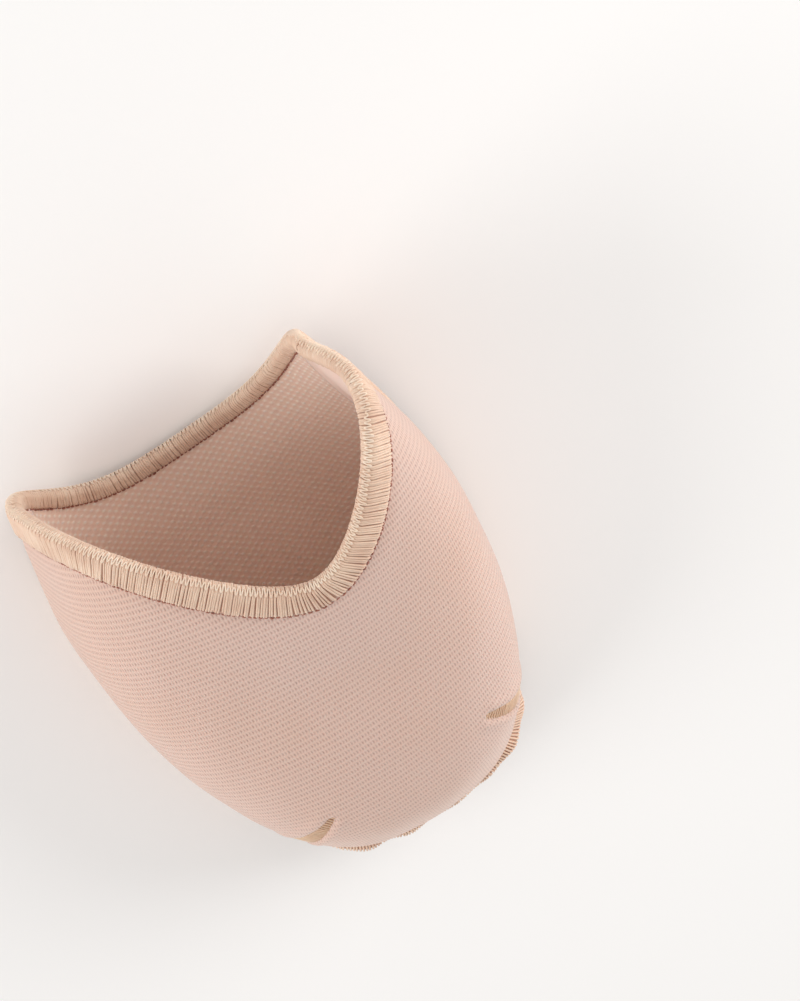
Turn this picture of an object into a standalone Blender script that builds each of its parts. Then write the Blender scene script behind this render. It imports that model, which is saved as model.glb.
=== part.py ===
# Gel toe pad: a padded knit pouch that covers the toes, resting on its sole.
# Metres. +Y runs from the mouth to the toe, +Z up, and the mouth faces -Y.
import math

import bpy
import numpy as np
from mathutils import Vector

# Form of the pouch
PAD_LENGTH = 0.1148  # from the tips of the mouth to the toe, without the binding
PAD_WIDTH = 0.0803
MOUTH_LEVEL = 0.0239  # height of the widest line, at the mouth
MOUTH_RISE = 0.0295  # from the widest line up to the top of the mouth
TOP_DIP = 0.0306  # how far the mouth edge runs in on the top
SOLE_DIP = 0.0147  # and on the sole
TOE_ROUND = 0.0138  # how far the corners of the toe lie behind its middle
TOP_LEAN = -0.0090  # the soft mouth leans to one side
TIP_TILT = -0.0050  # and one tip of it stands higher
REST_PRESS = 0.0008  # how far the sole is pressed flat where it rests

# Walls
PANEL_WALL = 0.0022  # knit with its gel backing
PANEL_EDGE = 0.0008  # the panel without gel, under the binding
EDGE_RUN = 0.012  # over which the gel reaches its full thickness
LINING_WALL = 0.0008
CLEARANCE = 0.0003

# Overlocked edges
BINDING_WIDTH = 0.0054  # on the outside
BINDING_INSIDE = 0.0024  # and on the lining
BINDING_WALL = 0.0005
BINDING_SLACK = 0.0001  # the binding stands off the edge and the lining a little more
SEAM_WIDTH = 0.0050
SEAM_WALL = 0.0017
SEAM_START = 0.0032  # from the binding to the fin
SEAM_START_SHARE = 0.45  # of its width, where the fin starts
SEAM_DROOP = math.radians(86)  # the fin hangs down the sides
TOE_DROOP = math.radians(-8)  # and stands out at the toe
DROOP_TURN = (0.50, 0.98)  # between them, by how far the seam looks towards the toe
DART_TIP = 0.0016
DART_FOOT = 0.0076
DART_SINK = 0.0004  # the threads lie just below the knit

# Sections from the mouth (0) to the toe (1). half_width is a share of half PAD_WIDTH and rise a share of
# MOUTH_RISE. level, the height of the widest line, and lift, that of the sole's middle, are shares of
# MOUTH_LEVEL. tuck is how many degrees the seam lies below the widest line.
SECTIONS = (
    # along, half_width, rise, level, lift, tuck
    (0.00, 0.803, 1.000, 1.000, 0.100, 21),
    (0.20, 0.985, 0.981, 0.694, 0.010, 22),
    (0.40, 1.000, 0.942, 0.574, 0.000, 22),
    (0.60, 0.897, 0.792, 0.514, 0.013, 22),
    (0.75, 0.790, 0.525, 0.485, 0.067, 18),
    (0.88, 0.726, 0.300, 0.492, 0.205, 8),
    (0.96, 0.700, 0.160, 0.500, 0.380, 2),
    (1.00, 0.697, 0.000, 0.500, 0.500, 0),
)
MOUTH_SQUARENESS = 3.9  # exponent of the section, 2 being an ellipse
TOP_SQUARENESS = 2.3
SOLE_SQUARENESS = 2.7
TOP_DIP_CURVE = 1.37  # exponent of the dip, 1 being a plain V
SOLE_DIP_CURVE = 3.5
DIP_ROUND = 0.22  # share of the half width over which the bottom of a dip is rounded

# Darts run from the top of the toe down to its corners: ring angle in degrees and place along the pad
DART_ENDS = {"tip": (24, 0.51), "middle": (52, 0.69), "foot": (86, 0.86)}
DART_REACH = 0.009  # half depth of the cut

# Mesh counts
ACROSS = 26  # over one panel, from seam to seam
ROWS = 20
FINE = 181  # samples of a half ring

# Section of the fin: shares of its width, outwards, and of half its wall
SEAM_PROFILE = ((0, -1), (0, 1), (0.8, 1), (1, 0.45), (1, -0.45), (0.8, -1))
UP = np.array((0.0, 0.0, 1.0))

COLOURS = {
    "knit": (0.66, 0.46, 0.39),
    "lining": (0.76, 0.50, 0.40),
    "thread": (0.78, 0.55, 0.42),
}


def clear_scene():
    for thing in list(bpy.data.objects):
        bpy.data.objects.remove(thing, do_unlink=True)


def column(name, along):
    """A column of SECTIONS read at any place along the pad, through a smooth curve."""
    names = ("along", "half_width", "rise", "level", "lift", "tuck")
    table = np.array(SECTIONS)
    x, y = table[:, 0], table[:, names.index(name)]
    slope = np.gradient(y, x)
    i = np.clip(np.searchsorted(x, along, side="right") - 1, 0, len(x) - 2)
    step = x[i + 1] - x[i]
    t = (along - x[i]) / step
    return (
        (2 * t**3 - 3 * t**2 + 1) * y[i]
        + (t**3 - 2 * t**2 + t) * step * slope[i]
        + (3 * t**2 - 2 * t**3) * y[i + 1]
        + (t**3 - t**2) * step * slope[i + 1]
    )


def signed_power(value, power):
    return np.sign(value) * np.abs(value) ** power


def rounded_power(value, power):
    """A power of the size of a value, 0 to 1, whose start is rounded off."""
    start = DIP_ROUND**power
    size = (value**2 + DIP_ROUND**2) ** (power / 2) - start
    return size / ((1 + DIP_ROUND**2) ** (power / 2) - start)


def ring(angle, along):
    """Points of one section. Angle 0 is the top, a quarter turn is the widest line at +X."""
    half = column("half_width", along) * PAD_WIDTH / 2
    rise = max(column("rise", along), 0) * MOUTH_RISE
    level = column("level", along) * MOUTH_LEVEL
    depth = max(level - column("lift", along) * MOUTH_LEVEL, 0)
    run = math.sin(math.pi / 2 * along)  # share of the length, slowing into the toe
    slack = max(1 - run, 0) ** 1.5  # how soft the mouth is here
    upper = np.cos(angle) >= 0
    mouth = math.exp(-((run / 0.45) ** 2))
    top_power = TOP_SQUARENESS + (MOUTH_SQUARENESS - TOP_SQUARENESS) * mouth
    power = 2 / np.where(upper, top_power, SOLE_SQUARENESS)
    across = signed_power(np.sin(angle), power)
    up = signed_power(np.cos(angle), power)
    dip = np.where(
        upper,
        TOP_DIP * (1 - rounded_power(across, TOP_DIP_CURVE)),
        SOLE_DIP * (1 - rounded_power(across, SOLE_DIP_CURVE)),
    )
    toe = -TOE_ROUND * (0.45 * across**2 + 0.55 * np.abs(across) ** 5)
    tilt = np.where(upper, across, signed_power(across, 2.5))
    x = half * across + np.where(upper, TOP_LEAN * slack * up, 0)
    y = (dip - PAD_LENGTH) * (1 - run) + toe * run
    z = level + np.where(upper, rise, depth) * up + TIP_TILT * slack * tilt
    return np.stack([x, y, z], -1)


def outline(u, along):
    """Points of the pouch before it is pressed flat. u runs -1 to 1 over the top panel from seam to
    seam, and 1 to 3 under the sole, evenly along the section."""
    u = (np.asarray(u, float) + 1) % 4 - 1
    seam = math.pi / 2 + math.radians(max(column("tuck", along), 0))
    found = np.empty(u.shape + (3,))
    for start, end, low in ((-seam, seam, -1), (seam, 2 * math.pi - seam, 1)):
        points = ring(np.linspace(start, end, FINE), along)
        length = np.concatenate([[0], np.cumsum(np.linalg.norm(np.diff(points, axis=0), axis=1))])
        here = (u >= low) & (u <= low + 2)
        place = (u[here] - low) / 2 * length[-1]
        for axis in range(3):
            found[here, axis] = np.interp(place, length, points[:, axis])
    return found


def pouch():
    """Rings of points and outward normals over the whole pouch. Columns 0 to ACROSS are the top panel,
    the rest the sole, and both share their seams and the toe line."""
    around = 2 * ACROSS
    u = np.linspace(-1, 3, around + 1)[:-1]
    points = np.array([outline(u, row / ROWS) for row in range(ROWS + 1)])
    beside = np.roll(points, -1, axis=1)
    normals = np.zeros_like(points)
    patch = np.cross(beside[1:] - points[:-1], points[1:] - beside[:-1])
    for rows in (slice(0, ROWS), slice(1, ROWS + 1)):
        normals[rows] += patch + np.roll(patch, 1, axis=1)
    mirror = (around - np.arange(around)) % around
    normals[-1] += normals[-1][mirror]
    return points, normals / np.linalg.norm(normals, axis=-1, keepdims=True)


def pressed(points, depth):
    """Flattens what rests, each layer at its own depth above the floor."""
    points = np.array(points)
    points[..., 2] = np.maximum(points[..., 2] - REST_PRESS, depth)
    return points


def edge_normal(u, along):
    """The outward normal near the mouth."""
    low, high = max(along - 0.01, 0), along + 0.01
    lengthwise = outline(u, high) - outline(u, low)
    middle = (low + high) / 2
    sideways = outline(u + 0.012, middle) - outline(u - 0.012, middle)
    normal = np.cross(sideways, lengthwise)
    return normal / np.linalg.norm(normal, axis=-1, keepdims=True)


def panel_wall(along):
    t = min(along * PAD_LENGTH / EDGE_RUN, 1)
    return PANEL_EDGE + (PANEL_WALL - PANEL_EDGE) * t * t * (3 - 2 * t)


def lining_depths(along):
    outer = panel_wall(along) + CLEARANCE
    return outer, outer + LINING_WALL


def material(kind):
    found = bpy.data.materials.get(kind)
    if found:
        return found
    made = bpy.data.materials.new(kind)
    made.use_nodes = True
    shader = made.node_tree.nodes["Principled BSDF"]
    shader.inputs["Base Color"].default_value = (*COLOURS[kind], 1)
    shader.inputs["Roughness"].default_value = 0.9
    shader.inputs["Metallic"].default_value = 0
    return made


def add_piece(name, kind, points, faces, home):
    mesh = bpy.data.meshes.new(name)
    mesh.from_pydata([tuple(map(float, p)) for p in points], [], faces)
    mesh.shade_smooth()
    mesh.set_sharp_from_angle(angle=math.radians(40))
    mesh.materials.append(material(kind))
    piece = bpy.data.objects.new(name, mesh)
    home.objects.link(piece)
    return piece


def shell(name, kind, form, first, depths, home):
    """A closed wall between two depths over one panel, which starts at the given column of the pouch."""
    points, normals = form
    columns = np.arange(first, first + ACROSS + 1) % (2 * ACROSS)
    opening = CLEARANCE / 2 if first == 0 else -CLEARANCE / 2  # parts the panels at the seam
    wall = []
    for layer in (0, 1):
        for row in range(ROWS + 1):
            depth = depths(row / ROWS)[layer]
            line = pressed(points[row, columns] - normals[row, columns] * depth, depth)
            line[:, 2] += opening
            wall.extend(line)
    wide = ACROSS + 1
    inner = wide * (ROWS + 1)
    faces = []
    for row in range(ROWS):
        for i in range(ACROSS):
            a = row * wide + i
            faces.append((a, a + 1, a + wide + 1, a + wide))
            faces.append((inner + a, inner + a + wide, inner + a + wide + 1, inner + a + 1))
    for i in range(ACROSS):
        last = ROWS * wide + i
        faces.append((i + 1, i, inner + i, inner + i + 1))
        faces.append((last, last + 1, inner + last + 1, inner + last))
    for row in range(ROWS):
        a, b = row * wide, row * wide + ACROSS
        faces.append((a, a + wide, inner + a + wide, inner + a))
        faces.append((b + wide, b, inner + b, inner + b + wide))
    return add_piece(name, kind, wall, faces, home)


def tube(name, kind, sections, closed, home):
    """A closed body through equal sections, each a loop of points."""
    points = [p for section in sections for p in section]
    around = len(sections[0])
    faces = []
    steps = len(sections) if closed else len(sections) - 1
    for s in range(steps):
        here, there = s * around, (s + 1) % len(sections) * around
        for i in range(around):
            j = (i + 1) % around
            faces.append((here + i, here + j, there + j, there + i))
    if not closed:
        faces.append(tuple(range(around - 1, -1, -1)))
        last = (len(sections) - 1) * around
        faces.append(tuple(last + i for i in range(around)))
    return add_piece(name, kind, points, faces, home)


def beside_edge(u, distance, depth):
    """The point that lies a distance in from the mouth's edge, square to it, at a depth."""
    small = 0.01
    here = outline(np.array([u]), 0)[0]
    edge = outline(np.array([u + small]), 0)[0] - outline(np.array([u - small]), 0)[0]
    inward = (outline(np.array([u]), small)[0] - here) / small
    sideways = edge / (2 * small)
    along_edge = edge / np.linalg.norm(edge)
    square = inward - along_edge * inward.dot(along_edge)
    reach = np.linalg.norm(square)
    slide = -inward.dot(along_edge) / np.linalg.norm(sideways)
    share = max(distance, 0) / reach
    spot = np.array([u + slide * share])
    layer = depth(share)
    point = outline(spot, share)[0] - edge_normal(spot, share)[0] * layer
    return pressed(point + square / reach * min(distance, 0), layer)


def make_binding(home):
    """Thread that wraps the mouth's edge: a channel over the panel and the lining."""
    over, under = CLEARANCE + BINDING_WALL, CLEARANCE
    crown = over + BINDING_SLACK

    def out(gap):
        return lambda share: -gap

    def inside(gap):
        return lambda share: lining_depths(share)[1] + gap + BINDING_SLACK

    def middle(share):
        return lining_depths(share)[1] / 2

    profile = (
        (BINDING_WIDTH, out(under)),
        (BINDING_WIDTH, out(over)),
        (BINDING_WIDTH / 2, out(over)),
        (0.0, out(over)),
        (-0.7 * crown, out((over + under) / 2)),
        (-crown, middle),
        (-0.7 * crown, inside((over + under) / 2)),
        (0.0, inside(over)),
        (BINDING_INSIDE, inside(over)),
        (BINDING_INSIDE, inside(under)),
        (-under - BINDING_SLACK, inside(under)),
        (-under - BINDING_SLACK, out(under)),
        (BINDING_WIDTH / 2, out(under)),
    )
    steps = np.linspace(-1, 3, 2 * ACROSS + 1)[:-1]
    sections = [[beside_edge(u, d, depth) for d, depth in profile] for u in steps]
    return tube("mouth_binding", "thread", sections, True, home)


def make_side_seam(form, home):
    """The overlocked fin that follows the seam down one side, round the toe and back."""
    points, normals = form
    start = (BINDING_WIDTH + SEAM_START) / np.linalg.norm(points[1, 0] - points[0, 0])
    side = [(start, ACROSS)] + [(row, ACROSS) for row in range(math.ceil(start + 0.3), ROWS)]
    toe = [(ROWS, i) for i in range(ACROSS, -1, -1)]
    path = side + toe + [(row, 0) for row, i in reversed(side)]
    sections = []
    for row, i in path:
        place = [np.interp(row, range(ROWS + 1), points[:, i, k]) for k in range(3)]
        normal = np.array([np.interp(row, range(ROWS + 1), normals[:, i, k]) for k in range(2)] + [0])
        normal /= np.linalg.norm(normal)
        droop = droop_of(normal)
        down = normal * math.cos(droop) - UP * math.sin(droop)
        out = normal * math.sin(droop) + UP * math.cos(droop)
        root = pressed(place, 0) + normal * (CLEARANCE + SEAM_WALL / 2 * math.sin(droop))
        half = SEAM_WALL / 2
        width = SEAM_WIDTH * (SEAM_START_SHARE if row == start else 1)
        sections.append([root + down * width * d + out * half * o for d, o in SEAM_PROFILE])
    return tube("side_seam", "thread", sections, False, home)


def droop_of(normal):
    t = min(max((normal[1] - DROOP_TURN[0]) / (DROOP_TURN[1] - DROOP_TURN[0]), 0), 1)
    return SEAM_DROOP + (TOE_DROOP - SEAM_DROOP) * t * t * (3 - 2 * t)


def wedge(name, side, trim, home):
    """The wedge of a dart, less a trim all round, from its tip on top to its foot past the seam."""
    ends = {}
    for key, (angle, along) in DART_ENDS.items():
        ends[key] = ring(np.array([side * math.radians(angle)]), along)[0] - (0, 0, REST_PRESS)
    axis = ends["foot"] - ends["tip"]
    length = np.linalg.norm(axis)
    axis = axis / length
    rise = ends["middle"] - ends["tip"]
    normal = rise - axis * rise.dot(axis)
    normal /= np.linalg.norm(normal)
    sideways = np.cross(axis, normal)
    past = 0.012  # runs clear of the panel's edge
    slope = (DART_FOOT - DART_TIP) / 2 / length
    start, end = trim, length + past
    half_tip = DART_TIP / 2 + slope * start - trim
    half_end = DART_TIP / 2 + slope * end - trim
    corners = []
    for out in (-DART_REACH, DART_REACH):
        for along, half in ((start, half_tip), (end, half_end)):
            for way in (-1, 1):
                corners.append(ends["tip"] + axis * along + sideways * half * way + normal * out)
    faces = [(0, 2, 3, 1), (4, 5, 7, 6), (0, 1, 5, 4), (2, 6, 7, 3), (0, 4, 6, 2), (1, 3, 7, 5)]
    made = add_piece(name, "thread", corners, faces, home)
    made.hide_render = True
    made.display_type = "WIRE"
    return made


def cut(piece, cutter, operation):
    modifier = piece.modifiers.new(operation.lower(), "BOOLEAN")
    modifier.operation = operation
    modifier.object = cutter


def top_depths(along):
    return 0.0, panel_wall(along)


def dart_depths(along):
    return DART_SINK, panel_wall(along) - DART_SINK / 2


def make_panels(form, home, cutters):
    top = shell("top_panel", "knit", form, 0, top_depths, home)
    shell("sole_panel", "knit", form, ACROSS, top_depths, home)
    shell("top_lining", "lining", form, 0, lining_depths, home)
    shell("sole_lining", "lining", form, ACROSS, lining_depths, home)
    for name, side in (("left", 1), ("right", -1)):
        cut(top, wedge("notch_" + name, side, 0, cutters), "DIFFERENCE")
        dart = shell("toe_dart_" + name, "thread", form, 0, dart_depths, home)
        cut(dart, wedge("core_" + name, side, CLEARANCE, cutters), "INTERSECT")


def stand_on_origin(home, extra):
    """Puts the middle of the pad's box over the origin, and its lowest point at height 0."""
    bpy.context.view_layer.update()
    graph = bpy.context.evaluated_depsgraph_get()
    points = []
    for piece in home.objects:
        mesh = piece.evaluated_get(graph).to_mesh()
        points.extend(v.co.copy() for v in mesh.vertices)
    low = [min(p[i] for p in points) for i in range(3)]
    high = [max(p[i] for p in points) for i in range(3)]
    shift = Vector((-(low[0] + high[0]) / 2, -(low[1] + high[1]) / 2, -low[2]))
    holder = bpy.data.objects.new("pad_frame", None)
    home.objects.link(holder)
    holder.location = shift
    for piece in list(home.objects) + list(extra.objects):
        if piece is not holder:
            piece.parent = holder


def collection(name):
    made = bpy.data.collections.new(name)
    bpy.context.scene.collection.children.link(made)
    return made


clear_scene()
pad = collection("gel_toe_pad")
cutters = collection("cutters")
form = pouch()
make_panels(form, pad, cutters)
make_binding(pad)
make_side_seam(form, pad)
stand_on_origin(pad, cutters)
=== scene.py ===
import math

import bpy
import numpy as np
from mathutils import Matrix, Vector


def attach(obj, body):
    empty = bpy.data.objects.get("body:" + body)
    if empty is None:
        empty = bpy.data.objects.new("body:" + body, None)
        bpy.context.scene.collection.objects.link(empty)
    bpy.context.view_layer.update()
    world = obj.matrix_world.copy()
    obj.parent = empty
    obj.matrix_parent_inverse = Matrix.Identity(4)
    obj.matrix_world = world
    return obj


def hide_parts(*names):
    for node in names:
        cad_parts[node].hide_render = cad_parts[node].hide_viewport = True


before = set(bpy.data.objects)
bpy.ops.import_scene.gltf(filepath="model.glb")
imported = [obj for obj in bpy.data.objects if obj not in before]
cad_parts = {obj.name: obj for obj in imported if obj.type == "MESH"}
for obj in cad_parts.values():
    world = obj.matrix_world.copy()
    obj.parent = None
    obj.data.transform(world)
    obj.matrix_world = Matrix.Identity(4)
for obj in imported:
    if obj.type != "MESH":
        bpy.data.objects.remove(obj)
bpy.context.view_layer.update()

bpy.ops.object.select_all(action="DESELECT")
np.random.seed(4)

pouch = {
    "length": 0.1148,  # from the tips of the mouth to the toe
    "width": 0.0803,
    "mouthLevel": 0.0239,
    "mouthRise": 0.0295,
    "topDip": 0.0306,  # how far the mouth edge runs in on the top
    "soleDip": 0.0147,
    "toeRound": 0.0138,
    "topLean": -0.0090,
    "tipTilt": -0.0050,
    "restPress": 0.0008,  # how far the sole is pressed flat
    "place": (0.000312, 0.055189, 0.000150),  # of the pouch in the frame
    "mouthSquareness": 3.9,
    "topSquareness": 2.3,
    "soleSquareness": 2.7,
    "topDipCurve": 1.37,
    "soleDipCurve": 3.5,
    "dipRound": 0.22,
    "rows": 240,  # of the table that every piece is measured on
    "columns": 400,  # of it, over one panel
}
sectionNames = ("along", "halfWidth", "rise", "level", "lift", "tuck")
sections = np.array((
    (0.00, 0.803, 1.000, 1.000, 0.100, 21),
    (0.20, 0.985, 0.981, 0.694, 0.010, 22),
    (0.40, 1.000, 0.942, 0.574, 0.000, 22),
    (0.60, 0.897, 0.792, 0.514, 0.013, 22),
    (0.75, 0.790, 0.525, 0.485, 0.067, 18),
    (0.88, 0.726, 0.300, 0.492, 0.205, 8),
    (0.96, 0.700, 0.160, 0.500, 0.380, 2),
    (1.00, 0.697, 0.000, 0.500, 0.500, 0),
))


def readSection(name, along):
    x, y = sections[:, 0], sections[:, sectionNames.index(name)]
    slope = np.gradient(y, x)
    i = np.clip(np.searchsorted(x, along, side="right") - 1, 0, len(x) - 2)
    step = x[i + 1] - x[i]
    t = (along - x[i]) / step
    return (
        (2 * t**3 - 3 * t**2 + 1) * y[i] + (t**3 - 2 * t**2 + t) * step * slope[i]
        + (3 * t**2 - 2 * t**3) * y[i + 1] + (t**3 - t**2) * step * slope[i + 1]
    )


def signedPower(value, power):
    return np.sign(value) * np.abs(value) ** power


def roundedPower(value, power):
    r = pouch["dipRound"]
    return ((value**2 + r * r) ** (power / 2) - r**power) / ((1 + r * r) ** (power / 2) - r**power)


def smooth(t):
    t = np.clip(t, 0, 1)
    return t * t * (3 - 2 * t)


def ringPoints(angle, along):
    half = readSection("halfWidth", along) * pouch["width"] / 2
    rise = max(readSection("rise", along), 0) * pouch["mouthRise"]
    level = readSection("level", along) * pouch["mouthLevel"]
    depth = max(level - readSection("lift", along) * pouch["mouthLevel"], 0)
    run = math.sin(math.pi / 2 * along)
    slack = max(1 - run, 0) ** 1.5
    upper = np.cos(angle) >= 0
    mouth = math.exp(-((run / 0.45) ** 2))
    topPower = pouch["topSquareness"] + (pouch["mouthSquareness"] - pouch["topSquareness"]) * mouth
    power = 2 / np.where(upper, topPower, pouch["soleSquareness"])
    across = signedPower(np.sin(angle), power)
    up = signedPower(np.cos(angle), power)
    dip = np.where(
        upper,
        pouch["topDip"] * (1 - roundedPower(across, pouch["topDipCurve"])),
        pouch["soleDip"] * (1 - roundedPower(across, pouch["soleDipCurve"])),
    )
    toe = -pouch["toeRound"] * (0.45 * across**2 + 0.55 * np.abs(across) ** 5)
    tilt = np.where(upper, across, signedPower(across, 2.5))
    x = half * across + np.where(upper, pouch["topLean"] * slack * up, 0)
    y = (dip - pouch["length"]) * (1 - run) + toe * run
    z = level + np.where(upper, rise, depth) * up + pouch["tipTilt"] * slack * tilt
    return np.stack([x, y, z], -1)


def evenAngles(start, end):
    # quarter turns are sampled closely at both of their ends, where the section turns fastest
    turns = []
    t = np.linspace(0, 1, 500)
    ease = t**2.2 / (t**2.2 + (1 - t) ** 2.2)
    for quarter in range(-2, 5):
        turns.append((quarter + ease[:-1]) * math.pi / 2)
    turns = np.concatenate(turns)
    return np.concatenate([[start], turns[(turns > start) & (turns < end)], [end]])


def measurePouch():
    # the pouch as a table of points: rows from mouth to toe, columns evenly round the section,
    # from seam to seam over the top and back under the sole
    count = pouch["columns"]
    table = np.empty((pouch["rows"] + 1, 2 * count, 3))
    for row in range(pouch["rows"] + 1):
        along = row / pouch["rows"]
        seam = math.pi / 2 + math.radians(max(readSection("tuck", along), 0))
        for first, start, end in ((0, -seam, seam), (count, seam, 2 * math.pi - seam)):
            line = ringPoints(evenAngles(start, end), along)
            length = np.concatenate([[0], np.cumsum(np.linalg.norm(np.diff(line, axis=0), axis=1))])
            place = np.linspace(0, length[-1], count + 1)[:-1]
            for axis in range(3):
                table[row, first:first + count, axis] = np.interp(place, length, line[:, axis])
    return table


pouchTable = measurePouch()


def outwardNormals(points):
    # for a closed table of rings; the toe row is shared by top and sole, so it looks straight out
    beside = np.roll(points, -1, axis=1)
    patch = np.cross(beside[1:] - points[:-1], points[1:] - beside[:-1])
    normals = np.zeros_like(points)
    for rows in (slice(0, -1), slice(1, None)):
        normals[rows] += patch + np.roll(patch, 1, axis=1)
    around = points.shape[1]
    normals[-1] += normals[-1][(around - np.arange(around)) % around]
    return normals / np.maximum(np.linalg.norm(normals, axis=-1, keepdims=True), 1e-12)


def spread(table, across, along):
    # a table read between its points, smoothly; across runs -1 to 3 round the section
    count = pouch["columns"]
    x = ((np.asarray(across, float) + 1) % 4) / 4 * 2 * count
    y = np.clip(np.asarray(along, float), 0, 1) * pouch["rows"]
    i, j = np.floor(x).astype(int), np.minimum(np.floor(y).astype(int), pouch["rows"] - 1)
    s, t = x - i, y - j

    def weights(f):
        return (
            (-f + 2 * f**2 - f**3) / 2, (2 - 5 * f**2 + 3 * f**3) / 2,
            (f + 4 * f**2 - 3 * f**3) / 2, (-(f**2) + f**3) / 2,
        )

    total = 0
    for dy, wy in zip((-1, 0, 1, 2), weights(t)):
        row = j + dy
        low = table[np.clip(row, 0, pouch["rows"])]
        for dx, wx in zip((-1, 0, 1, 2), weights(s)):
            column = (i + dx) % (2 * count)
            here = table[np.clip(row, 0, pouch["rows"]), column]
            # past an end row the table goes on straight
            under = 2 * table[0, column] - table[1, column]
            here = np.where((row < 0)[..., None], under, here)
            total = total + here * (wy * wx)[..., None]
    return total


normalTable = outwardNormals(pouchTable)
placeVector = np.array(pouch["place"])


def pressed(points, depth):
    points = np.array(points)
    points[..., 2] = np.maximum(points[..., 2] - pouch["restPress"], depth)
    return points + placeVector


print("pouch measured:", pouchTable.shape)


class Signal:
    # a socket's value, to be used in sums
    def __init__(self, wiring, socket):
        self.wiring, self.socket = wiring, socket

    def sum(self, operation, *others):
        values = {i + 1: other for i, other in enumerate(others)}
        return self.wiring.make("ShaderNodeMath", {"operation": operation}, {0: self, **values})

    def __add__(self, other): return self.sum("ADD", other)
    def __radd__(self, other): return self.sum("ADD", other)
    def __sub__(self, other): return self.sum("SUBTRACT", other)
    def __rsub__(self, other): return (self * -1) + other
    def __mul__(self, other): return self.sum("MULTIPLY", other)
    def __rmul__(self, other): return self.sum("MULTIPLY", other)
    def __truediv__(self, other): return self.sum("DIVIDE", other)
    def __pow__(self, other): return self.sum("POWER", other)
    def cosine(self): return self.sum("COSINE")
    def above(self, low, high): return ((self - low) / (high - low)).sum("MAXIMUM", 0).sum("MINIMUM", 1)


class Wiring:
    # the nodes of one material
    def __init__(self, name):
        self.material = bpy.data.materials.new(name)
        self.material.use_nodes = True
        self.tree = self.material.node_tree
        self.shader = self.tree.nodes["Principled BSDF"]

    def make(self, kind, settings=None, inputs=None, output=0):
        node = self.tree.nodes.new(kind)
        for key, value in (settings or {}).items():
            if key == "stops":
                ramp = node.color_ramp
                while len(ramp.elements) > 1:
                    ramp.elements.remove(ramp.elements[-1])
                for n, (position, color) in enumerate(value):
                    stop = ramp.elements[0] if n == 0 else ramp.elements.new(position)
                    stop.position, stop.color = position, (*color, 1)
            else:
                setattr(node, key, value)
        for key, value in (inputs or {}).items():
            self.feed(node.inputs[key], value)
        return Signal(self, node.outputs[output])

    def feed(self, socket, value):
        if isinstance(value, Signal):
            self.tree.links.new(value.socket, socket)
        else:
            socket.default_value = value

    def blendColors(self, factor, first, second, kind="MIX"):
        return self.make(
            "ShaderNodeMix", {"data_type": "RGBA", "blend_type": kind, "clamp_factor": True},
            {0: factor, 6: first, 7: second}, output=2,
        )

    def noise(self, place, scale, detail=2.0, rough=0.5):
        return self.make(
            "ShaderNodeTexNoise", {},
            {"Vector": place, "Scale": scale, "Detail": detail, "Roughness": rough}
        )

    def bump(self, height, strength, distance, under=None):
        inputs = {"Height": height, "Strength": strength, "Distance": distance}
        if under is not None:
            inputs["Normal"] = under
        return self.make("ShaderNodeBump", {}, inputs)

    def paint(self, **inputs):
        for key, value in inputs.items():
            self.feed(self.shader.inputs[key.replace("_", " ")], value)
        return self.material


def color(red, green, blue):
    # screen colour, 0 to 255, as the renderer's own
    return tuple(((v / 255 + 0.055) / 1.055) ** 2.4 if v > 10 else v / 255 / 12.92 for v in (red, green, blue)) + (
        1,
    )


knit = {
    "wale": 0.62,  # mm between ribs
    "course": 1.40,  # mm between rows of stitches
    "light": color(216, 184, 171),
    "warm": color(214, 176, 157),
    "dark": color(150, 108, 98),
    "fuzz": color(240, 220, 208),
    "depth": 0.00016,
}


def makeKnit():
    w = Wiring("knitFabric")
    cloth = w.make("ShaderNodeAttribute", {"attribute_name": "cloth"}, output=1)
    parts = w.tree.nodes.new("ShaderNodeSeparateXYZ")
    w.feed(parts.inputs[0], cloth)
    x, y = Signal(w, parts.outputs[0]), Signal(w, parts.outputs[1])
    wander = w.noise(cloth, 0.11, 2.0)
    x = x + (wander - 0.5) * 0.5
    a, c = x / knit["wale"], y / knit["course"]
    lean = a + (c * (2 * math.pi)).cosine() * 0.06
    rib = (lean * (2 * math.pi)).cosine() * 0.5 + 0.5
    row = (c * (2 * math.pi)).cosine() * 0.5 + 0.5
    check = ((a + c) * math.pi).cosine() * 0.14 + 0.86
    uneven = w.noise(cloth, 1.3, 2.0) * 0.9 + 0.55
    dash = rib ** 1.3 * row ** 0.75 * check * uneven
    fleck = w.noise(cloth, 2.6, 3.0)
    place = w.make("ShaderNodeTexCoord", {}, output=3)
    cloud = w.noise(place, 26.0, 3.0)
    base = w.blendColors((cloud - 0.35) * 2.2, knit["light"], knit["warm"])
    tone = w.blendColors(dash * 0.7, base, knit["dark"])
    tone = w.blendColors((fleck - 0.5) * 0.6 + 0.14, tone, knit["fuzz"])
    height = (1 - dash) * 0.8 + rib * -0.15 + fleck * 0.25
    return w.paint(
        Base_Color=tone, Roughness=0.86, Normal=w.bump(height, 0.55, knit["depth"]),
        Sheen_Weight=0.6, Sheen_Roughness=0.45, Sheen_Tint=color(255, 240, 232),
        Specular_IOR_Level=0.2, Subsurface_Weight=0.12, Subsurface_Radius=(0.004, 0.002, 0.0015),
        Subsurface_Scale=0.6,
    )


lining = {
    "across": 2.2,  # mm, cell of the staggered dots
    "along": 1.55,
    "turn": math.radians(7),
    "light": color(250, 226, 211),
    "dark": color(232, 196, 176),
    "dot": color(255, 243, 232),
    "depth": 0.0002,
}


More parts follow.
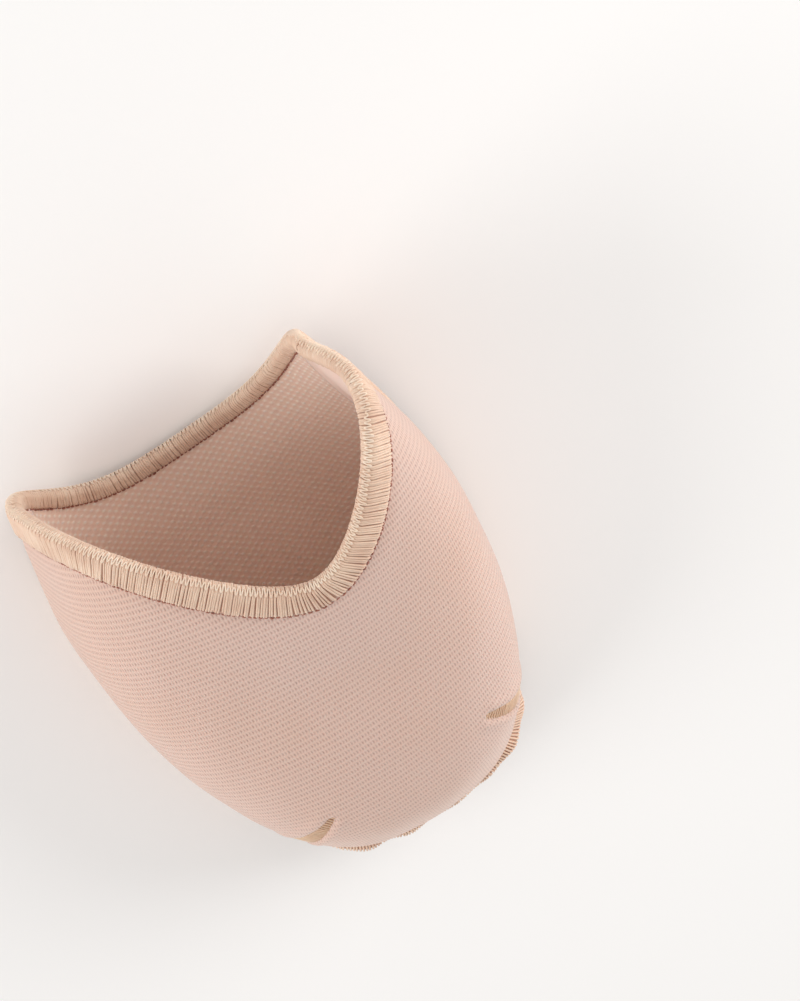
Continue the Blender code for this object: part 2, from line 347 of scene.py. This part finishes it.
def makeSmoothLining():
    w = Wiring("smoothLining")
    cloth = w.make("ShaderNodeAttribute", {"attribute_name": "cloth"}, output=1)
    fleck = w.noise(cloth, 2.2, 3.0)
    cloud = w.noise(cloth, 0.12, 2.0)
    tone = w.blendColors(fleck * 0.5 + cloud * 0.5, color(240, 205, 190), color(250, 226, 213))
    return w.paint(
        Base_Color=tone, Roughness=0.8, Normal=w.bump(fleck, 0.3, 0.0001), Sheen_Weight=0.3,
        Specular_IOR_Level=0.2, Subsurface_Weight=0.15, Subsurface_Radius=(0.004, 0.002, 0.0012),
        Subsurface_Scale=0.6,
    )


def makeLining():
    w = Wiring("liningMesh")
    cloth = w.make("ShaderNodeAttribute", {"attribute_name": "cloth"}, output=1)
    parts = w.tree.nodes.new("ShaderNodeSeparateXYZ")
    w.feed(parts.inputs[0], cloth)
    px, py = Signal(w, parts.outputs[0]), Signal(w, parts.outputs[1])
    wander = (w.noise(cloth, 0.09, 2.0) - 0.5) * 1.2
    turn = lining["turn"]
    x = px * math.cos(turn) + py * math.sin(turn) + wander
    y = py * math.cos(turn) - px * math.sin(turn) + wander
    cx = (x * (2 * math.pi / lining["across"])).cosine()
    cy = (y * (2 * math.pi / lining["along"])).cosine()
    dots = (cx * cy * 0.5 + 0.5) ** 3.0  # staggered: high where both waves agree
    uneven = w.noise(cloth, 0.8, 2.0) * 0.8 + 0.6
    dots = dots * uneven
    fleck = w.noise(cloth, 3.0, 3.0)
    base = w.blendColors(fleck * 0.6 + dots * 0.5, lining["dark"], lining["light"])
    tone = w.blendColors(dots * 0.75, base, lining["dot"])
    height = dots + fleck * 0.2
    return w.paint(
        Base_Color=tone, Roughness=0.8, Normal=w.bump(height, 0.5, lining["depth"]),
        Sheen_Weight=0.3, Sheen_Roughness=0.5, Specular_IOR_Level=0.25, Subsurface_Weight=0.15,
        Subsurface_Radius=(0.004, 0.002, 0.0012), Subsurface_Scale=0.6,
    )


def makeThread(name, light, dark, rough=0.62):
    w = Wiring(name)
    place = w.make("ShaderNodeTexCoord", {}, output=3)
    cloud = w.noise(place, 160.0, 2.0)
    fleck = w.noise(place, 2600.0, 2.0)
    tone = w.blendColors((cloud - 0.3) * 1.8, light, dark)
    tone = w.blendColors((fleck - 0.35) * 0.6, tone, dark)
    return w.paint(
        Base_Color=tone, Roughness=rough, Normal=w.bump(fleck, 0.35, 0.00008),
        Sheen_Weight=0.25, Specular_IOR_Level=0.35, Subsurface_Weight=0.08,
        Subsurface_Radius=(0.003, 0.0015, 0.001), Subsurface_Scale=0.4,
    )


finishes = {
    "knit": makeKnit(),
    "lining": makeLining(),
    "smoothLining": makeSmoothLining(),
    "wrap": makeThread("wrapThread", color(236, 207, 184), color(214, 176, 152)),
    "core": makeThread("seamAllowance", color(205, 162, 140), color(184, 138, 118), 0.8),
    # needle thread: its own red-brown, drawn darker as painted shade of the sunk stitches
    "needle": makeThread("needleThreadPaintedShade", color(176, 118, 100), color(138, 84, 70), 0.8),
    "chain": makeThread("loopThread", color(248, 228, 208), color(226, 192, 168)),
    "dart": makeThread("dartThread", color(232, 200, 170), color(206, 166, 136)),
}
print("materials made:", ", ".join(finishes))


def finishPiece(piece, finish, replaces=()):
    piece.data.materials.clear()
    piece.data.materials.append(finishes[finish])
    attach(piece, "root")
    if replaces:
        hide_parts(*replaces)


def applyPlace(piece):
    bpy.ops.object.select_all(action="DESELECT")
    piece.select_set(True)
    bpy.context.view_layer.objects.active = piece
    bpy.ops.object.transform_apply(location=True, rotation=True, scale=True)


def setPoints(piece, points):
    piece.data.vertices.foreach_set("co", np.asarray(points, np.float32).ravel())
    piece.data.update()


def addGrid(name, across, along):
    # a flat grid of across x along faces, whose points are then placed
    bpy.ops.object.select_all(action="DESELECT")
    bpy.ops.mesh.primitive_grid_add(x_subdivisions=across, y_subdivisions=along, size=2, location=(0, 0, 0))
    piece = bpy.context.object
    piece.name = piece.data.name = name
    flat = np.empty(len(piece.data.vertices) * 3, np.float32)
    piece.data.vertices.foreach_get("co", flat)
    return piece, flat.reshape(-1, 3)


def setAttribute(piece, name, values):
    layer = piece.data.attributes.new(name, "FLOAT_VECTOR", "POINT")
    layer.data.foreach_set("vector", np.asarray(values, np.float32).ravel())


def smoothFaces(piece):
    piece.data.polygons.foreach_set("use_smooth", [True] * len(piece.data.polygons))
    piece.data.update()


def tubeGrid(name, rings, closed):
    # a body through equal rings of points, made of a grid rolled up, merged and capped
    steps, around = rings.shape[:2]
    rolled = np.concatenate([rings, rings[:, :1]], axis=1)
    if closed:
        rolled = np.concatenate([rolled, rolled[:1]], axis=0)
    piece, flat = addGrid(name, around, rolled.shape[0] - 1)
    column = np.rint((flat[:, 0] + 1) / 2 * around).astype(int)
    row = np.rint((flat[:, 1] + 1) / 2 * (rolled.shape[0] - 1)).astype(int)
    setPoints(piece, rolled[row, column])
    bpy.ops.object.mode_set(mode="EDIT")
    bpy.ops.mesh.select_all(action="SELECT")
    bpy.ops.mesh.remove_doubles(threshold=1e-7)
    if not closed:
        bpy.ops.mesh.select_all(action="DESELECT")
        bpy.ops.mesh.select_non_manifold()
        bpy.ops.mesh.fill_holes(sides=0)
    bpy.ops.mesh.select_all(action="SELECT")
    bpy.ops.mesh.normals_make_consistent(inside=False)
    bpy.ops.object.mode_set(mode="OBJECT")
    smoothFaces(piece)
    return piece


def makeThreads(name, paths, radius, finish, sides=1, thin=None):
    # each path becomes one round thread, closed at both ends
    curve = bpy.data.curves.new(name, "CURVE")
    curve.dimensions = "3D"
    curve.bevel_depth = radius
    curve.bevel_resolution = sides
    curve.use_fill_caps = True
    for n, path in enumerate(paths):
        spline = curve.splines.new("POLY")
        spline.points.add(len(path) - 1)
        spline.points.foreach_set("co", np.c_[path, np.ones(len(path))].astype(np.float32).ravel())
        if thin is not None:
            spline.points.foreach_set("radius", np.asarray(thin[n], np.float32))
    piece = bpy.data.objects.new(name, curve)
    bpy.context.collection.objects.link(piece)
    bpy.ops.object.select_all(action="DESELECT")
    piece.select_set(True)
    bpy.context.view_layer.objects.active = piece
    bpy.ops.object.convert(target="MESH")
    piece = bpy.context.object
    smoothFaces(piece)
    finishPiece(piece, finish)
    return piece


walls = {
    "panel": 0.0022,
    "panelEdge": 0.0008,
    "edgeRun": 0.012,
    "lining": 0.0008,
    "clearance": 0.0003,
}
edge = {
    "width": 0.0054,  # of the overlocked band outside the mouth
    "inside": 0.0024,  # and inside it
    "sunk": 0.0005,  # how far it pulls the knit in
    "release": 0.0045,
}
darts = {
    "ends": {"tip": (24, 0.51), "middle": (52, 0.69), "foot": (86, 0.86)},
    "tipWidth": 0.0016,
    "footWidth": 0.0076,
    "groove": 0.0009,
    "lip": 0.0004,
    "rungStep": 0.00078,
    "rungRadius": 0.00026,
}


def dartFrame(side):
    ends = {}
    for key, (angle, along) in darts["ends"].items():
        ends[key] = ringPoints(np.array([side * math.radians(angle)]), along)[0]
        ends[key] = ends[key] - (0, 0, pouch["restPress"]) + placeVector
    axis = ends["foot"] - ends["tip"]
    length = np.linalg.norm(axis)
    axis = axis / length
    rise = ends["middle"] - ends["tip"]
    normal = rise - axis * rise.dot(axis)
    normal /= np.linalg.norm(normal)
    return ends["tip"], axis, normal, np.cross(axis, normal), length


dartFrames = [dartFrame(1), dartFrame(-1)]


def panelWall(along):
    return walls["panelEdge"] + (walls["panel"] - walls["panelEdge"]) * smooth(
        along * pouch["length"] / walls["edgeRun"]
    )


def mouthReach():
    # how far square to the mouth's edge the surface runs for one unit of along
    count = pouch["columns"]
    here = pouchTable[0]
    ahead = (pouchTable[1] - here) * pouch["rows"]
    edgeLine = np.roll(here, -1, axis=0) - np.roll(here, 1, axis=0)
    tangent = edgeLine / np.linalg.norm(edgeLine, axis=1, keepdims=True)
    slip = (ahead * tangent).sum(1)
    square = ahead - tangent * slip[:, None]
    reach = np.linalg.norm(square, axis=1)
    speed = np.linalg.norm(edgeLine, axis=1) / (2 * 2 / count)  # length for one unit of across
    return reach, -slip / speed, square / reach[:, None], tangent


reachAt, slideAt, squareAt, tangentAt = mouthReach()
columnUnits = -1 + 4 * np.arange(2 * pouch["columns"]) / (2 * pouch["columns"])


def roundLoop(values, across):
    # a value per column of the table, read at any place round the mouth
    x = ((np.asarray(across) + 1) % 4) / 4 * 2 * pouch["columns"]
    i = np.floor(x).astype(int)
    t = (x - i)
    first, second = values[i % len(values)], values[(i + 1) % len(values)]
    if values.ndim > 1:
        t = t[..., None]
    return first * (1 - t) + second * t


def clothPlace(points):
    # how the flat cloth lies on the pouch: across and along it in mm, from the middle line
    count = pouch["columns"]
    rows = []
    for first in (0, count):
        columns = np.arange(first, first + count + 1) % (2 * count)
        line = points[:, columns]
        step = np.diff(line, axis=1)
        length = np.sqrt(step[..., 0] ** 2 + step[..., 2] ** 2)
        across = np.concatenate([np.zeros((len(line), 1)), np.cumsum(length, axis=1)], axis=1)
        across -= across[:, count // 2][:, None]
        middle = line[:, count // 2]
        run = np.concatenate([[0], np.cumsum(np.linalg.norm(np.diff(middle, axis=0), axis=1))])
        lengthwise = np.interp(line[..., 1], middle[:, 1], run)
        early = line[..., 1] < middle[0, 1]
        lengthwise = np.where(early, line[..., 1] - middle[0, 1], lengthwise)
        rows.append(np.stack([across, lengthwise, np.zeros_like(across)], -1) * 1000)
    return rows


clothTables = clothPlace(pouchTable)


def relief(points, normals, across, along, top):
    # how far the outer face of the knit stands off the plain pouch, in metres
    mouthDistance = along * roundLoop(reachAt, across)
    sunk = -edge["sunk"] * (1 - smooth((mouthDistance - edge["width"] + 0.0012) / edge["release"]))
    waves = (
        np.sin(points[..., 0] * 190 + points[..., 1] * 70) * np.sin(points[..., 1] * 130 + 1.0)
        + 0.5 * np.sin(points[..., 0] * 420 - points[..., 1] * 260 + 2.0)
    ) * 0.00010
    total = sunk + waves * smooth(along / 0.15)
    if top:
        for tip, axis, normal, sideways, length in dartFrames:
            off = points - tip
            a, b = off @ axis, off @ sideways
            depth = off @ normal
            half = darts["tipWidth"] / 2 + (darts["footWidth"] - darts["tipWidth"]) / 2 * a / length
            near = (a > -0.002) & (np.abs(depth) < 0.012)
            inside = smooth((half - np.abs(b)) / 0.0006) * smooth(a / 0.001)
            lip = np.exp(-(((np.abs(b) - half - 0.0012) / 0.0012) ** 2)) * smooth((a + 0.002) / 0.004)
            total = total + near * (-darts["groove"] * inside + darts["lip"] * lip * (1 - inside))
    return total


def shellPiece(name, top, across, along, depths, outerRelief, finish, replaces):
    # a closed wall between two depths under the pouch's surface
    piece, flat = addGrid(name, across, along)
    side = np.linspace(-1, 1, across + 1)
    u = flat[:, 0] if top else flat[:, 0] + 2
    v = (flat[:, 1] + 1) / 2
    points = spread(pouchTable, u, v)
    normals = spread(normalTable, u, v)
    normals /= np.linalg.norm(normals, axis=1, keepdims=True)
    opening = walls["clearance"] / 2 * (1 if top else -1)
    layers = []
    for layer in (0, 1):
        depth = depths(v)[layer]
        moved = points - normals * depth[:, None]
        placed = pressed(moved, depth)
        if layer == 0 and outerRelief:
            low = placed[:, 2] > depth + placeVector[2] + 1e-5
            lift = relief(placed, normals, u, v, top) * np.where(low, 1, 0)
            placed = placed + normals * lift[:, None]
        placed[:, 2] += opening
        layers.append(placed)
    setPoints(piece, layers[0])
    wall = piece.modifiers.new("wall", "SOLIDIFY")
    wall.thickness, wall.offset = 0.001, -1
    bpy.ops.object.modifier_apply(modifier="wall")
    setPoints(piece, np.concatenate(layers))
    table = clothTables[0 if top else 1]
    count = pouch["columns"]
    x, y = (flat[:, 0] + 1) / 2 * count, v * pouch["rows"]
    i = np.minimum(x.astype(int), count - 1)
    j = np.minimum(y.astype(int), pouch["rows"] - 1)
    s, t = (x - i)[:, None], (y - j)[:, None]
    cloth = (table[j, i] * (1 - s) + table[j, i + 1] * s) * (1 - t) + (table[j + 1, i] * (1 - s) + table[j + 1, i + 1] * s) * t
    setAttribute(piece, "cloth", np.concatenate([cloth, cloth]))
    smoothFaces(piece)
    finishPiece(piece, finish, replaces)
    return piece


def panelDepths(v):
    return np.zeros_like(v), panelWall(v)


def liningDepths(v):
    outer = panelWall(v) + walls["clearance"]
    return outer, outer + walls["lining"]


topKnit = shellPiece("knit_top", True, 200, 170, panelDepths, True, "knit", ["top_panel"])
soleKnit = shellPiece("knit_sole", False, 130, 130, panelDepths, True, "knit", ["sole_panel"])
topInside = shellPiece(
    "lining_top", True, 130, 120, liningDepths, False, "smoothLining", ["top_lining"]
)
soleInside = shellPiece(
    "lining_sole", False, 130, 120, liningDepths, False, "lining", ["sole_lining"]
)
print("panels and linings made")

band = {
    "steps": 760,
    "coreHeight": 0.00030,
    "crown": 0.00050,
    "stitchPitch": 0.00046,  # between neighbouring strands
    "strandRadius": 0.00025,
    "needleRadius": 0.00022,
    "chainRadius": 0.00016,
}


def mouthSteps(count):
    # places round the mouth an even distance apart
    loop = np.concatenate([pouchTable[0], pouchTable[0][:1]])
    length = np.concatenate([[0], np.cumsum(np.linalg.norm(np.diff(loop, axis=0), axis=1))])
    wanted = np.linspace(0, length[-1], count + 1)[:-1]
    return -1 + 4 * np.interp(wanted, length, np.arange(len(loop))) / (2 * pouch["columns"]), length[-1]


def besideMouth(across, distance, height, inside=False):
    # a point square to the mouth's edge, distance in from it, height off the knit or off the lining
    across = np.asarray(across, float)
    distance = np.broadcast_to(distance, across.shape)
    height = np.broadcast_to(height, across.shape)
    reach = roundLoop(reachAt, across)
    share = np.maximum(distance, 0) / reach
    spot = across + roundLoop(slideAt, across) * share
    normal = spread(normalTable, spot, share)
    normal /= np.linalg.norm(normal, axis=-1, keepdims=True)
    depth = liningDepths(share)[1] + height if inside else -height
    point = spread(pouchTable, spot, share) - normal * depth[..., None]
    beyond = roundLoop(squareAt, across) * np.minimum(distance, 0)[..., None]
    return pressed(point + beyond, depth)


def overEdge(across, t, height):
    # t runs 0 to 1 from the needle line outside, over the edge, to the needle line inside
    t = np.broadcast_to(t, across.shape)
    width, crown = edge["width"], band["crown"] + height - band["coreHeight"]
    wall = float(liningDepths(np.array([0.0]))[1][0])
    outside = besideMouth(across, width * np.clip(1 - t / 0.42, 0, 1), height)
    inside = besideMouth(across, edge["inside"] * np.clip((t - 0.58) / 0.42, 0, 1), height, inside=True)
    turn = np.clip((t - 0.42) / 0.16, 0, 1) * math.pi
    start, end = besideMouth(across, 0.0, height), besideMouth(across, 0.0, height, inside=True)
    middle = (start + end) / 2
    square = roundLoop(squareAt, across)
    arc = middle + (start - middle) * np.cos(turn)[..., None] - square * (crown * np.sin(turn))[..., None]
    t = t[..., None]
    return np.where(t < 0.42, outside, np.where(t > 0.58, inside, arc))


def bandCore():
    across, total = mouthSteps(band["steps"])
    rings = []
    for t in np.linspace(0, 1, 19):
        ends = smooth(min(t, 1 - t) / 0.1)
        rings.append(overEdge(across, t, band["coreHeight"] * (0.25 + 0.75 * ends)))
    for distance in (1.0, 0.5, 0.0):
        rings.append(besideMouth(across, edge["inside"] * distance, -0.00022, inside=True))
    for distance in (0.0, 0.5, 1.0):
        rings.append(besideMouth(across, edge["width"] * distance, -0.00022))
    piece = tubeGrid("mouth_band", np.stack(rings, axis=1), True)
    finishPiece(piece, "core", ["mouth_binding"])
    return piece, total


mouthBand, mouthLength = bandCore()


def bandThreads():
    count = int(round(mouthLength / band["stitchPitch"]))
    base, total = mouthSteps(count)
    units = np.gradient(np.unwrap((base + 1) * math.pi / 2)) / (math.pi / 2)  # of across, per strand
    wobble = np.random.normal(0, 0.16, count)
    lean = 0.8 + 0.5 * np.sin(np.arange(count) / count * 2 * math.pi * 3 + 0.6) + np.random.normal(
        0, 0.25, count
    )
    reachEnds = 1 + np.random.normal(0, 0.025, count)
    paths, thin = [], []
    samples = np.array([0.0, 0.06, 0.16, 0.28, 0.40, 0.47, 0.53, 0.60, 0.72, 0.84, 0.94, 1.0])
    for t in samples:
        place = base + units * (wobble + lean * (t - 0.5) * 1.6)
        ends = smooth(min(t, 1 - t) / 0.06)
        high = band["coreHeight"] + 0.00014 - 0.00040 * (1 - ends) + np.random.normal(0, 0.00003, count)
        paths.append(overEdge(place, np.clip((t - 0.5) * reachEnds + 0.5, 0, 1), high))
        thin.append(np.full(count, 0.75 + 0.25 * ends))
    paths = np.stack(paths, axis=1)
    thin = np.stack(thin, axis=1) * (1 + np.random.normal(0, 0.07, count))[:, None]
    return makeThreads("mouth_stitches", paths, band["strandRadius"], "wrap", 1, thin), base, units


mouthStitches, strandPlaces, strandUnits = bandThreads()


def needleLine(name, inside):
    # short stitches end to end along the border of the band, a little sunk; their dark colour is partly the
    # thread's own red-brown, partly painted shade
    places = strandPlaces[::2]
    units = strandUnits[::2]
    paths = []
    jitter = np.random.normal(0, 0.00007, len(places))
    for t, high in ((-0.75, -0.00045), (-0.3, 0.00002), (0.3, 0.00002), (0.75, -0.00045)):
        far = edge["inside" if inside else "width"] + 0.00025
        paths.append(besideMouth(places + units * t, far + jitter, high, inside))
    return makeThreads(name, np.stack(paths, axis=1), band["needleRadius"], "needle")


outerNeedle = needleLine("outer_needle_line", False)
innerNeedle = needleLine("inner_needle_line", True)


def loopChain():
    # the looper thread that zigzags along the edge itself
    samples = 8
    fine = np.repeat(strandPlaces[::2], samples)
    phase = np.tile(np.arange(samples), len(strandPlaces[::2])) / samples
    step = np.repeat(strandUnits[::2], samples)
    size = np.repeat(1 + np.random.normal(0, 0.25, len(strandPlaces[::2])), samples)
    t = 0.475 + 0.032 * np.sin(phase * 2 * math.pi) * size
    high = band["coreHeight"] + 0.00034 + 0.00010 * np.cos(phase * 4 * math.pi)
    line = overEdge(fine + step * 2 * phase, t, high)
    pieces = []
    run = 64
    for start in range(0, len(line), run):
        pieces.append(line[np.arange(start, start + run + 1) % len(line)])
    return makeThreads("edge_loops", pieces, band["chainRadius"], "chain")


edgeLoops = loopChain()
print("mouth band made:", len(strandPlaces), "strands")

fin = {
    "width": 0.0046,
    "wall": 0.0011,
    "start": 0.0034,  # from the band
    "startShare": 0.45,
    "sideDroop": math.radians(86),
    "toeDroop": math.radians(-8),
    "wrapPitch": 0.00056,
    "wrapRadius": 0.00025,
}


def finPath(count):
    # along one side, round the toe and back, at even distances; gives the root and its outward direction
    rows, columns = pouch["rows"], pouch["columns"]
    startRow = (edge["width"] + fin["start"]) / np.linalg.norm(pouchTable[1, 0] - pouchTable[0, 0])
    ahead = np.arange(math.ceil(startRow), rows)
    line = [(r, columns) for r in ahead] + [(rows, c) for c in range(columns, -1, -4)] + [
        (r, 0) for r in ahead[::-1]
    ]
    points = np.array([pouchTable[r, c] for r, c in line])
    normals = np.array([normalTable[r, c] for r, c in line])
    along = np.array([r / rows for r, c in line])
    length = np.concatenate([[0], np.cumsum(np.linalg.norm(np.diff(points, axis=0), axis=1))])
    even = np.linspace(0, length[-1], count)

    def read(values):
        if values.ndim == 1:
            return np.interp(even, length, values)
        return np.stack([np.interp(even, length, values[:, k]) for k in range(3)], -1)

    points, normals, along = read(points), read(normals), read(along)
    normals[:, 2] = 0
    kernel = np.ones(9) / 9
    padded = np.pad(normals, ((4, 4), (0, 0)), mode="edge")
    normals = np.stack([np.convolve(padded[:, k], kernel, mode="valid") for k in range(3)], -1)
    normals /= np.linalg.norm(normals, axis=1, keepdims=True)
    return points, normals, along, even, length[-1]


def finFrame(count):
    points, normals, along, even, total = finPath(count)
    turn = smooth((along - 0.62) / 0.36)
    facing = smooth((normals[:, 1] - 0.50) / 0.48)  # how far the seam looks towards the toe
    droop = fin["sideDroop"] + (fin["toeDroop"] - fin["sideDroop"]) * facing
    ripple = np.sin(even * 560 + 0.5) + 0.6 * np.sin(even * 930 + 2.0)
    droop = droop + ripple * turn * math.radians(7)
    up = np.array((0, 0, 1.0))
    outwards = normals * np.cos(droop)[:, None] - up * np.sin(droop)[:, None]
    across = normals * np.sin(droop)[:, None] + up * np.cos(droop)[:, None]
    root = pressed(points, 0) + normals * (walls["clearance"] + 0.00085 * np.sin(droop))[:, None]
    ends = np.minimum(even, total - even)
    width = fin["width"] * (fin["startShare"] + (1 - fin["startShare"]) * smooth(ends / 0.006))
    width = width * (1 + 0.05 * np.sin(even * 700) * turn)
    return root, outwards, across, width, total


def makeFin():
    root, outwards, across, width, total = finFrame(420)
    half = fin["wall"] / 2
    profile = (
        (0, -0.7), (0, 0.7), (0.3, 1), (0.8, 1), (0.95, 0.7), (1, 0), (0.95, -0.7), (0.8, -1), (0.3, -1)
    )
    rings = [root + outwards * (width * d)[:, None] + across * half * o for d, o in profile]
    core = tubeGrid("seam_fin", np.stack(rings, axis=1), False)
    finishPiece(core, "core", ["side_seam"])
    count = int(round(total / fin["wrapPitch"]))
    root, outwards, across, width, total = finFrame(count)
    move = np.random.normal(0, 0.12, count)
    along = np.gradient(root, axis=0)
    paths = []
    high = half + 0.00012
    for d, o, slip in ((0.02, 0.72, -0.9), (0.12, 1, -0.6), (0.5, 1, -0.3), (0.88, 1, 0), (1.0, 0.62, 0.1),
                       (
                           1.06, 0, 0.2), (1.0, -0.62, 0.3), (0.88, -1, 0.4), (0.5, -1, 0.7), (0.12, -1,
                           1.0), (0.02, -0.72, 1.2)
                       ):
        paths.append(
            root + outwards * (width * d)[:, None] + across * high * o + along * (slip + move)[:, None]
        )
    wraps = makeThreads("seam_stitches", np.stack(paths, axis=1), fin["wrapRadius"], "wrap")
    return core, wraps


seamFin, seamStitches = makeFin()
print("side seam made")


def makeDart(name, side, node):
    tip, axis, normal, sideways, length = dartFrames[0 if side > 0 else 1]
    # follow the surface from the tip down to the seam, and lay threads across the slot
    u = np.linspace(0.02, 0.999, 400) * side
    rows = np.linspace(0.45, 0.97, 240)
    uu, vv = np.meshgrid(u, rows)
    surface = pressed(spread(pouchTable, uu, vv), 0)
    off = surface - tip
    a, b, n = off @ axis, off @ sideways, off @ normal
    steps = np.arange(0.0006, length + 0.0035, darts["rungStep"])
    rungs, thin = [], []
    for s in steps:
        half = darts["tipWidth"] / 2 + (darts["footWidth"] - darts["tipWidth"]) / 2 * s / length
        row = []
        lean = np.random.normal(0, 0.00012)
        for share in np.linspace(-1, 1, 7):
            target = (s + lean * share, share * (half + 0.00035))
            score = np.hypot(a - target[0], b - target[1]) + np.where(np.abs(n) > 0.014, 1, 0)
            best = np.unravel_index(score.argmin(), score.shape)
            if score[best] > 0.0006:
                row = []
                break
            ring = int(round(vv[best] * pouch["rows"]))
            column = int(round((uu[best] + 1) / 4 * 2 * pouch["columns"])) % (2 * pouch["columns"])
            normalHere = normalTable[ring, column]
            spot = tip + axis * target[0] + sideways * target[1] + normal * n[best]
            sink = 0.00012 + 0.00065 * smooth((abs(share) - 0.7) / 0.3)
            row.append(spot - normalHere * sink)
        if row:
            rungs.append(np.array(row))
            thin.append(np.full(7, 1 + np.random.normal(0, 0.08)))
    threads = makeThreads(name, rungs, darts["rungRadius"], "dart", 1, thin)
    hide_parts(node)
    return threads


dartLeft = makeDart("dart_left_threads", 1, "toe_dart_left")
dartRight = makeDart("dart_right_threads", -1, "toe_dart_right")
print("toe darts made")

view = {
    "location": (-0.035096, -0.261485, 0.435925),
    "turn": (-0.460709, -0.282171, 2.607446),
    "lens": 88.32,
}
cameraData = bpy.data.cameras.new("photoCamera")
cameraData.lens = view["lens"]
cameraData.sensor_width = 36
cameraData.clip_start, cameraData.clip_end = 0.01, 20
camera = bpy.data.objects.new("photoCamera", cameraData)
camera.location = view["location"]
camera.rotation_euler = view["turn"]
bpy.context.collection.objects.link(camera)
bpy.context.scene.camera = camera

light = {
    "floor": color(252, 251, 250),
    "world": (1.0, 0.99, 0.98),
    "worldPower": 0.62,
}
bpy.ops.mesh.primitive_plane_add(size=6, location=(0, 0, 0))
floor = bpy.context.object
floor.name = "floor"
applyPlace(floor)
floorWiring = Wiring("paleFloor")
floorPlace = floorWiring.make("ShaderNodeTexCoord", {}, output=3)
floorMark = floorWiring.noise(floorPlace, 3.0, 2.0)
floorTone = floorWiring.blendColors(floorMark * 0.3, light["floor"], color(248, 247, 246))
floor.data.materials.append(floorWiring.paint(Base_Color=floorTone, Roughness=0.9, Specular_IOR_Level=0.1))


def addLamp(name, location, target, size, power, tint=(1, 1, 1)):
    data = bpy.data.lights.new(name, "AREA")
    data.shape, data.size, data.energy, data.color = "DISK", size, power, tint
    lamp = bpy.data.objects.new(name, data)
    lamp.location = location
    lamp.rotation_euler = (Vector(target) - Vector(location)).to_track_quat("-Z", "Y").to_euler()
    bpy.context.collection.objects.link(lamp)
    return lamp


addLamp("leftLight", (-0.94, -0.12, 0.36), (0, 0, 0.02), 0.8, 7.0, (1.0, 0.985, 0.97))
addLamp("rightLight", (0.92, -0.30, 0.34), (0, 0, 0.02), 0.8, 6.0, (1.0, 0.985, 0.97))

world = bpy.data.worlds.new("studio")
world.use_nodes = True
world.node_tree.nodes["Background"].inputs[0].default_value = (*light["world"], 1)
world.node_tree.nodes["Background"].inputs[1].default_value = light["worldPower"]
bpy.context.scene.world = world
bpy.context.scene.view_settings.view_transform = "Standard"
bpy.context.scene.view_settings.look = "None"
print("camera and lights set")
